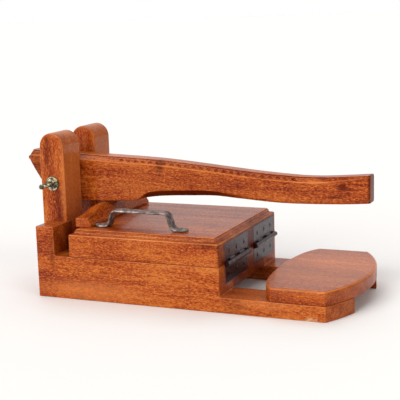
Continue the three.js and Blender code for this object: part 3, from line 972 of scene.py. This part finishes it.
class PRESS_OT_pivot(bpy.types.Operator):
    """Pivot bolt with a cut thread, its washers and nut"""

    bl_idname = "press.pivot"
    bl_label = "Pivot bolt"

    def execute(self, context):
        centre = axis_of(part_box("washer_right"))
        for side, seed in (("right", 0.0), ("left", 3.0)):
            low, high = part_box(f"washer_{side}")
            mesh = self.washer(centre, low, high)
            piece(f"washer_{side}_zinc", mesh, "base", [f"washer_{side}"],
                  zinc_plate(f"zinc_washer_{side}", seed))
        low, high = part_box("pivot_nut")
        flats = high.x - low.x
        nut = self.hexagon(centre, flats, low.y, high.y, True)
        nut_hole, past = 3.3 * MM, 10 * MM
        nut = cut(nut, [rod_mesh(nut_hole, centre, low.y - past, high.y + past)], "pivot_nut")
        piece("nut_zinc", nut, "base", ["pivot_nut"], zinc_plate("zinc_nut", 5.0))
        bolt_low, bolt_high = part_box("pivot_bolt")
        head, shank_radius = 4.2 * MM, 3.05 * MM
        thread_end = high.y + 4 * MM
        shank = self.threaded(centre, shank_radius, bolt_low.y, bolt_high.y - head * 0.5, thread_end)
        cap = self.hexagon(centre, flats, bolt_high.y - head, bolt_high.y, False)
        mesh = join_meshes([shank, cap], "pivot_bolt")
        piece("bolt_zinc", mesh, "base", ["pivot_bolt"], zinc_plate("zinc_bolt", 8.0))
        return {"FINISHED"}

    def washer(self, centre, low, high):
        """Flat ring with eased rims, closed round its hole"""
        outer = (high.x - low.x) / 2
        inner = sizes().bolt_hole
        ease = 0.3 * MM
        profile = ((inner, low.y), (outer - ease, low.y), (outer, low.y + ease),
                   (outer, high.y - ease), (outer - ease, high.y), (inner, high.y))
        rings = [round_ring(centre, y, 48, r) for r, y in (*profile, profile[0])]
        return skinned("washer", rings, closed_ends=False)

    def hexagon(self, centre, flats, y0, y1, both):
        """Hexagonal head or nut whose corners are turned off at 30 degrees, at one end or both"""
        sides = 72
        turned = flats / 2 * 0.96
        slope = math.tan(math.radians(30))

        def hex_radius(angle):
            within = (angle + math.pi / 6) % (math.pi / 3) - math.pi / 6
            return flats / 2 / math.cos(within)

        def corners(y, sign):
            ring = round_ring(centre, y, sides, hex_radius)
            over = [hex_radius(2 * math.pi * i / sides) - turned for i in range(sides)]
            return [(x, y + sign * past * slope, z) for (x, y, z), past in zip(ring, over)]

        rings = [round_ring(centre, y0, sides, turned if both else hex_radius)]
        if both:
            rings.append(corners(y0, 1))
        rings.append(corners(y1, -1))
        rings.append(round_ring(centre, y1, sides, turned))
        return skinned("hexagon", rings)

    def threaded(self, centre, radius, y0, y1, plain_from):
        """Round bar whose surface is cut to a helical thread up to where the plain shank starts"""
        sides = 24
        pitch = sizes().thread_pitch
        depth = sizes().thread_depth
        rows = int((plain_from - y0) / pitch * 8)
        rings = []
        for k in range(rows + 1):
            y = y0 + (plain_from - y0) * k / rows
            fade = min(1.0, (y - y0) / pitch) * min(1.0, (plain_from - y) / pitch)
            point = 0.5 * MM * max(0.0, 1 - (y - y0) / pitch)

            def helix(angle):
                phase = (y / pitch + angle / (2 * math.pi)) % 1.0
                return radius + 0.1 * MM - depth * abs(2 * phase - 1) * fade - point

            rings.append(round_ring(centre, y, sides, helix))
        rings.append([(x, y1, z) for x, y, z in rings[-1]])
        return skinned("thread", rings)


class PRESS_OT_lid(bpy.types.Operator):
    """Pressing lid with a stepped ogee moulding run round its top"""

    bl_idname = "press.lid"
    bl_label = "Lid"

    def execute(self, context):
        low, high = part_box("lid")
        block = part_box("press_block")
        panel = block[0].z - 0.3 * MM
        shoulder = panel - 6.8 * MM
        # inset in millimetres, height, edge number: worn edges with painted highlight above zero,
        # painted shade below zero along the bottom edge and in the moulding's hollows
        stops = [
            (1.0, low.z, -1.0), (0.3, low.z + 0.3 * MM, -0.8), (0.0, low.z + 1.0 * MM, 0.0),
            (0.0, shoulder - 1.4 * MM, 0.1), (0.1, shoulder - 0.4 * MM, 0.5),
            (0.45, shoulder + 0.5 * MM, 0.8), (1.05, shoulder + 0.95 * MM, 0.6),
            (1.9, shoulder + 1.0 * MM, -0.3), (2.05, shoulder + 0.6 * MM, -1.0),
            (2.4, shoulder + 0.75 * MM, -0.8),
        ]
        for i in range(1, 9):
            a = math.pi / 2 * i / 8
            rise = 0.75 + 3.6 * (1 - math.cos(a))
            stops.append((2.4 + 3.6 * math.sin(a), shoulder + rise * MM, -0.5 + 0.06 * i))
        stops += [
            (6.15, panel - 1.75 * MM, 0.6), (6.8, panel - 1.6 * MM, 0.5),
            (7.0, panel - 1.5 * MM, -0.9), (7.05, panel - 0.75 * MM, -0.2),
            (7.3, panel - 0.3 * MM, 0.8), (7.9, panel, 0.7), (9.2, panel, 0.0),
        ]
        rings = []
        for inset, z, worn in stops:
            d = inset * MM
            corner = max(0.5 * MM, 1.6 * MM - d * 0.15)
            plan = rounded_rectangle(low.x + d, high.x - d, low.y + d, high.y - d, corner)
            rings.append([(x, y, z) for x, y in plan])
        mesh = skinned("lid", rings, marks=[worn for inset, z, worn in stops])
        tools = []
        for side in ("right", "left"):
            leaf_low, leaf_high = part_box(f"hinge_{side}_upper_leaf")
            margin = 0.35 * MM
            tools.append(box_mesh(
                (leaf_low.x - margin, leaf_low.y - margin, low.z - 0.01),
                (high.x + 0.01, leaf_high.y + margin, leaf_high.z + margin),
            ))
        mesh = cut(mesh, tools, "lid")
        # painted shade: the first two darken the lid's front face, which faces away from the light;
        # the third is a dark mark under the moulding
        stain = ((high.x, 0.0, low.z + 0.012), 0.030, (9.0, 0.2, 0.6), 0.80)
        low_front_shade = ((high.x, 0.0, low.z), 0.016, (6.0, 0.1, 1.0), 0.50)
        smudge = ((high.x - 0.012, low.y, shoulder - 0.001), 0.009, (0.45, 0.5, 2.2), 0.62)
        wooden_piece(mesh, "lid", "lid", "x", 6.2, 0.04, [stain, low_front_shade, smudge])
        return {"FINISHED"}


class PRESS_OT_press_block(bpy.types.Operator):
    """Block on the lid that the lever bears on"""

    bl_idname = "press.press_block"
    bl_label = "Press block"

    def execute(self, context):
        mesh = eased_copy("press_block", 0.7 * sizes().wood_ease)
        low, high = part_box("press_block")
        stain = (((low.x + high.x) / 2, low.y + 0.016, low.z + 0.010), 0.008, (1, 0.5, 1.4), 0.45)
        wooden_piece(mesh, "lid", "press_block", "y", 12.4, 0.02, [stain])
        return {"FINISHED"}


class PRESS_OT_handle(bpy.types.Operator):
    """Hammered strap handle on the lid"""

    bl_idname = "press.handle"
    bl_label = "Lid handle"

    def execute(self, context):
        low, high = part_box("lid_handle")
        path = self.path(low, high)
        sums = self.lengths(path)
        total = sums[-1]
        stations = 150
        rings = []
        for k in range(stations + 1):
            s = total * k / stations
            point, tangent = self.at(path, sums, s)
            normal = Vector((-tangent.y, tangent.x))
            width = self.width(s, total, (high.y - low.y) / 2)
            ring = []
            for y, lift in self.section(width, sizes().strap_thickness / 2):
                place = point + normal * lift
                dent = noise.noise(Vector((place.x, y, place.y)) * 190.0) * 0.28 * MM
                dent = min(0.0, dent - 0.05 * MM)
                place += normal * dent * (1 if lift > 0 else -1)
                ring.append((place.x, (low.y + high.y) / 2 + y, max(place.y, low.z)))
            rings.append(ring)
        piece("handle_steel", skinned("lid_handle", rings), "lid", ["lid_handle"],
              hammered_steel("steel_handle"))
        return {"FINISHED"}

    def path(self, low, high):
        """Centre line of the strap in (x, z), its bends rounded"""
        half, foot, lean, bend = 1.1 * MM, 19 * MM, 7 * MM, 4.5 * MM
        base = low.z + half
        grip = high.z - half
        corners = [
            (low.x, base), (low.x + foot, base), (low.x + foot + lean, grip),
            (high.x - foot - lean, grip), (high.x - foot, base), (high.x, base),
        ]
        corners = [Vector(corner) for corner in corners]
        points = [corners[0]]
        for before, here, after in zip(corners, corners[1:], corners[2:]):
            one = here + (before - here).normalized() * bend
            two = here + (after - here).normalized() * bend
            points += curve(one, here, two, 8)
        return [*points, corners[-1]]

    def lengths(self, path):
        """Distance along the strap at each point"""
        sums = [0.0]
        for one, two in zip(path, path[1:]):
            sums.append(sums[-1] + (two - one).length)
        return sums

    def at(self, path, sums, distance):
        """Point and direction at a distance along the strap"""
        i = next((k for k, end in enumerate(sums[1:-1]) if distance <= end), len(path) - 2)
        t = (distance - sums[i]) / max(1e-9, sums[i + 1] - sums[i])
        return path[i].lerp(path[i + 1], t), (path[i + 1] - path[i]).normalized()

    def width(self, s, total, most):
        """Half width: round ends on the feet, full at the legs, slimmer in the grip"""
        end = min(s, total - s)
        rounded = most * math.sqrt(max(0.02, 1 - max(0.0, 1 - end / most) ** 2))
        middle = abs(s / total - 0.5) * 2
        slim = 1 - 0.06 * (1 - min(1.0, middle / 0.5) ** 2)
        return rounded * slim * (0.97 + 0.03 * math.sin(s * 900))

    def section(self, half_width, half_thick):
        """Rounded strip section in (across, up); its side points lie just above the middle"""
        steps = 7
        edge = half_thick * 0.8
        flat = half_width - edge
        points = []
        for side in (1, -1):
            for i in range(steps + 1):
                points.append((side * (2 * flat * i / steps - flat), side * half_thick))
            for across, up in ((half_width - edge * 0.3, side * half_thick * 0.65),
                               (half_width, 0.0001 * MM),
                               (half_width - edge * 0.3, -side * half_thick * 0.65)):
                points.append((side * across, up))
        return points


class PRESS_OT_hinges(bpy.types.Operator):
    """Two butt hinges: leaves, knuckles and pins"""

    bl_idname = "press.hinges"
    bl_label = "Butt hinges"

    def execute(self, context):
        for side, seed in (("right", 0.2), ("left", 0.9)):
            for row, body in (("upper", "lid"), ("lower", "base")):
                node = f"hinge_{side}_{row}_leaf"
                mesh = self.leaf(node, row)
                piece(node + "_iron", mesh, body, [node],
                      bronzed_iron(f"iron_{side}_{row}", seed))
            low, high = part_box(f"hinge_{side}_pin")
            centre = axis_of((low, high))
            cap_radius, cap = 2.3 * MM, 0.9 * MM
            pin = rod_mesh((high.z - low.z) / 2, centre, low.y + 0.5 * MM, high.y - 0.5 * MM)
            caps = [rod_mesh(cap_radius, centre, y0, y1, ease=0.4 * MM)
                    for y0, y1 in ((low.y, low.y + cap), (high.y - cap, high.y))]
            piece(f"hinge_{side}_pin_iron", join_meshes([pin, *caps], "pin"), "base",
                  [f"hinge_{side}_pin"], bronzed_iron(f"iron_{side}_pin", seed + 3))
        return {"FINISHED"}

    def leaf(self, node, row):
        """Plate with its two round knuckles, or three on the lower leaf, rolled from it"""
        low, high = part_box(node)
        axis = axis_of(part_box(node.replace(f"{row}_leaf", "pin")))
        radius = high.x - axis[0]
        up = 1 if row == "upper" else -1
        gap = sizes().knuckle_gap
        face = low.x + sizes().leaf_thickness
        far = high.z if up > 0 else low.z
        near = axis[1] + up * (radius + gap)
        ease = sizes().metal_ease
        z0, z1 = sorted((near, far))
        rings = []
        for x, d in ((low.x, 0.0), (face - ease, 0.0), (face - ease * 0.3, ease * 0.3),
                     (face, ease), (face, 2.5 * ease)):
            corners = rounded_rectangle(low.y + d, high.y - d, z0 + d, z1 - d, 0.8 * MM + ease)
            rings.append([(x, y, z) for y, z in corners])
        parts = [skinned("plate", rings, marks=(0, 0.3, 0.9, 0.7, 0))]
        knuckles = 5
        pitch = (high.y - low.y) / knuckles
        for i in range(1 if up > 0 else 0, knuckles, 2):
            y0 = low.y + i * pitch + gap
            y1 = low.y + (i + 1) * pitch - gap
            parts.append(rod_mesh(radius, axis, y0, y1, 32, 0.4 * MM))
            front, back = face - 0.05 * MM, low.x + 0.1 * MM
            root, crown = near + up * 2.0 * MM, axis[1] + up * 0.98 * radius
            sweep = curve((front, root), (front, crown), (axis[0], crown), 8)
            sweep += [(axis[0] - 0.2 * radius, axis[1] + up * 0.4 * radius),
                      (back, axis[1] + up * 0.9 * MM), (back, root)]
            parts.append(skinned("web", [[(x, y, z) for x, z in sweep] for y in (y0, y1)]))
        return join_meshes(parts, node)


class PRESS_OT_screws(bpy.types.Operator):
    """Countersunk screws of the hinges and the handle, set out by a node tree"""

    bl_idname = "press.screws"
    bl_label = "Screws"

    def execute(self, context):
        iron = bronzed_iron("iron_screws", 6.1)
        zinc = zinc_plate("zinc_screws", 6.7)
        group, names = self.row_tree()
        front = Matrix.Rotation(math.radians(90), 4, "Y")
        for row, body in (("upper", "lid"), ("lower", "base")):
            nodes = [f"hinge_screw_{side}_{row}_{k}" for side in ("right", "left") for k in (1, 2, 3)]
            heads = [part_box(n) for n in nodes]
            spots = [(hi.x, (lo.y + hi.y) / 2, (lo.z + hi.z) / 2) for lo, hi in heads]
            mesh = self.row(group, names, spots, front, iron)
            piece(f"hinge_screws_{row}", mesh, body, nodes, iron)
        nodes = ["handle_screw_1", "handle_screw_2"]
        heads = [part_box(n) for n in nodes]
        spots = [((lo.x + hi.x) / 2, (lo.y + hi.y) / 2, hi.z) for lo, hi in heads]
        mesh = self.row(group, names, spots, Matrix.Identity(4), zinc)
        piece("handle_screws", mesh, "lid", nodes, zinc)
        return {"FINISHED"}

    def screw(self, turn):
        """One screw, head up at the origin, with a cross recess and a domed head"""
        sides = 32
        head = sizes().screw_head
        rings = []
        for r, z in ((0.3 * MM, -15.5), (1.6 * MM, -12.0), (1.6 * MM, -2.2), (head, -0.25),
                     (head, -0.05), (head * 0.8, 0.25), (head * 0.45, 0.45)):
            rings.append([(r * math.cos(2 * math.pi * i / sides),
                           r * math.sin(2 * math.pi * i / sides), z * MM) for i in range(sides)])
        arm, half = 2.0 * MM, 0.42 * MM
        cross = [box_mesh((-arm, -half, -1.6 * MM), (arm, half, 2 * MM)),
                 box_mesh((-half, -arm, -1.5 * MM), (half, arm, 2 * MM))]
        body = cut(skinned("screw", rings), cross, "screw")
        body.transform(turn)
        return body

    def row(self, group, names, spots, turn, finish):
        """A screw at every spot"""
        points = bpy.data.meshes.new("screw_spots")
        points.from_pydata(spots, [], [])
        pattern = new_object("screw_pattern", self.screw(turn))
        values = {"Screw": pattern, "Finish": finish}
        mesh = run_group("screws", points, group, names, values)
        bpy.data.objects.remove(pattern)
        return mesh

    def row_tree(self):
        """Points in; a screw at each point out"""
        sockets = (("Points", "NodeSocketGeometry"), ("Screw", "NodeSocketObject"),
                   ("Finish", "NodeSocketMaterial"))
        group, names = node_group("Screw row", sockets, "Screws")
        tree = Tree(group)
        given = tree.node("NodeGroupInput").outputs
        screw = tree.out("GeometryNodeObjectInfo", inputs={"Object": given["Screw"]},
                         output="Geometry")
        placed = tree.out("GeometryNodeInstanceOnPoints",
                          inputs={"Points": given["Points"], "Instance": screw})
        finish_group(tree, placed, given["Finish"])
        return group, names


class PRESS_OT_stage(bpy.types.Operator):
    """Pale floor, soft lights and camera"""

    bl_idname = "press.stage"
    bl_label = "Stage"

    def execute(self, context):
        scene = context.scene
        floor_mesh = bpy.data.meshes.new("floor")
        reach, level = 60.0, -0.2 * MM
        corners = [(-reach, -reach), (reach, -reach), (reach, reach), (-reach, reach)]
        floor_mesh.from_pydata([(x, y, level) for x, y in corners], [], [(0, 1, 2, 3)])
        floor = new_object("floor", floor_mesh)
        pale = Finish("pale_floor")
        pale.surface({"Base Color": (*colours().floor, 1.0), "Roughness": 0.9,
                      "Specular IOR Level": 0.0})
        floor_mesh.materials.append(pale.material)
        self.room(scene)
        self.sun("key", (-0.38, -1.0, 0.62), 42.0, 2.30, (1.0, 0.975, 0.93))
        self.sun("fill", (1.0, -0.45, 0.6), 40.0, 0.75, (1.0, 0.95, 0.90))
        self.sun("top", (-0.1, 0.35, 1.0), 60.0, 0.95, (0.97, 0.98, 1.0))
        scene.view_settings.view_transform = "Standard"
        self.camera(scene)
        return {"FINISHED"}

    def room(self, scene):
        """White room that is brightest behind the press, so its tops take a sheen"""
        world = bpy.data.worlds.new("studio")
        world.use_nodes = True
        tree = Tree(world.node_tree)
        brightest = Vector((-0.37, 0.86, 0.30)).normalized()
        place = tree.out("ShaderNodeTexCoord", output="Generated")
        facing = tree.out("ShaderNodeVectorMath", {"operation": "DOT_PRODUCT"},
                          {0: place, 1: brightest}, "Value")
        glow = tree.out("ShaderNodeMapRange", {"interpolation_type": "SMOOTHSTEP"},
                        {"Value": facing, "From Min": 0.45, "From Max": 0.98, "To Min": 0.22,
                         "To Max": 1.0})
        seen = tree.out("ShaderNodeLightPath", output="Is Camera Ray")
        lit = tree.out("ShaderNodeMix", inputs={0: seen, 2: glow, 3: 1.0})
        warm = tree.mix(lit, (1.0, 0.80, 0.62), (1.0, 1.0, 1.0))
        back = tree.out("ShaderNodeBackground", inputs={"Strength": lit, "Color": warm})
        tree.node("ShaderNodeOutputWorld", inputs={0: back})
        scene.world = world

    def sun(self, name, place, spread, strength, colour):
        """Sunlight that comes from a place towards the origin; spread is its width in degrees"""
        light = bpy.data.lights.new(name, "SUN")
        light.angle = math.radians(spread)
        light.energy = strength
        light.color = colour
        holder = new_object(name, light)
        holder.location = place
        holder.rotation_mode = "QUATERNION"
        holder.rotation_quaternion = (-Vector(place)).to_track_quat("-Z", "Y")

    def camera(self, scene):
        """Standard view: from the front right, a little above, slightly tilted"""
        azimuth, elevation, roll = (math.radians(v) for v in (23.38, 10.583, 1.746))
        distance = 1.2462
        aim = Vector((0.01425, -0.0186, 0.074))
        back = Vector((math.sin(azimuth) * math.cos(elevation),
                       -math.cos(azimuth) * math.cos(elevation), math.sin(elevation)))
        level = Vector((math.cos(azimuth), math.sin(azimuth), 0))
        rise = back.cross(level)
        right = level * math.cos(roll) - rise * math.sin(roll)
        up = level * math.sin(roll) + rise * math.cos(roll)
        data = bpy.data.cameras.new("camera")
        data.sensor_width = 36.0
        data.lens = 90.32
        data.clip_start = 0.05
        data.clip_end = 200.0
        holder = new_object("camera", data)
        aside, above = 0.00148, 0.04107
        place = aim + back * distance + right * aside + up * above
        axes = Matrix((right, up, back)).transposed().to_4x4()
        holder.matrix_world = Matrix.Translation(place) @ axes
        scene.camera = holder


STEPS = (
    PRESS_OT_rails, PRESS_OT_bed, PRESS_OT_cheeks, PRESS_OT_rest_board, PRESS_OT_lever,
    PRESS_OT_pivot, PRESS_OT_lid, PRESS_OT_press_block, PRESS_OT_handle, PRESS_OT_hinges,
    PRESS_OT_screws, PRESS_OT_stage,
)


class PRESS_PT_panel(bpy.types.Panel):
    """Lists the press's pieces"""

    bl_idname = "PRESS_PT_panel"
    bl_label = "Lever press"
    bl_space_type = "VIEW_3D"
    bl_region_type = "UI"
    bl_category = "Press"

    def draw(self, context):
        for group in (context.scene.press_sizes, context.scene.press_colours):
            box = self.layout.box()
            for key in group.__annotations__:
                box.prop(group, key)
        for step in STEPS:
            self.layout.operator(step.bl_idname)


CLASSES = (PressSizes, PressColours, *STEPS, PRESS_PT_panel)


def register():
    for cls in CLASSES:
        bpy.utils.register_class(cls)
    bpy.types.Scene.press_sizes = PointerProperty(type=PressSizes)
    bpy.types.Scene.press_colours = PointerProperty(type=PressColours)


def unregister():
    del bpy.types.Scene.press_colours
    del bpy.types.Scene.press_sizes
    for cls in reversed(CLASSES):
        bpy.utils.unregister_class(cls)


def main():
    register()
    for step in STEPS:
        space, name = step.bl_idname.split(".")
        getattr(getattr(bpy.ops, space), name)()


if __name__ == "__main__":
    main()
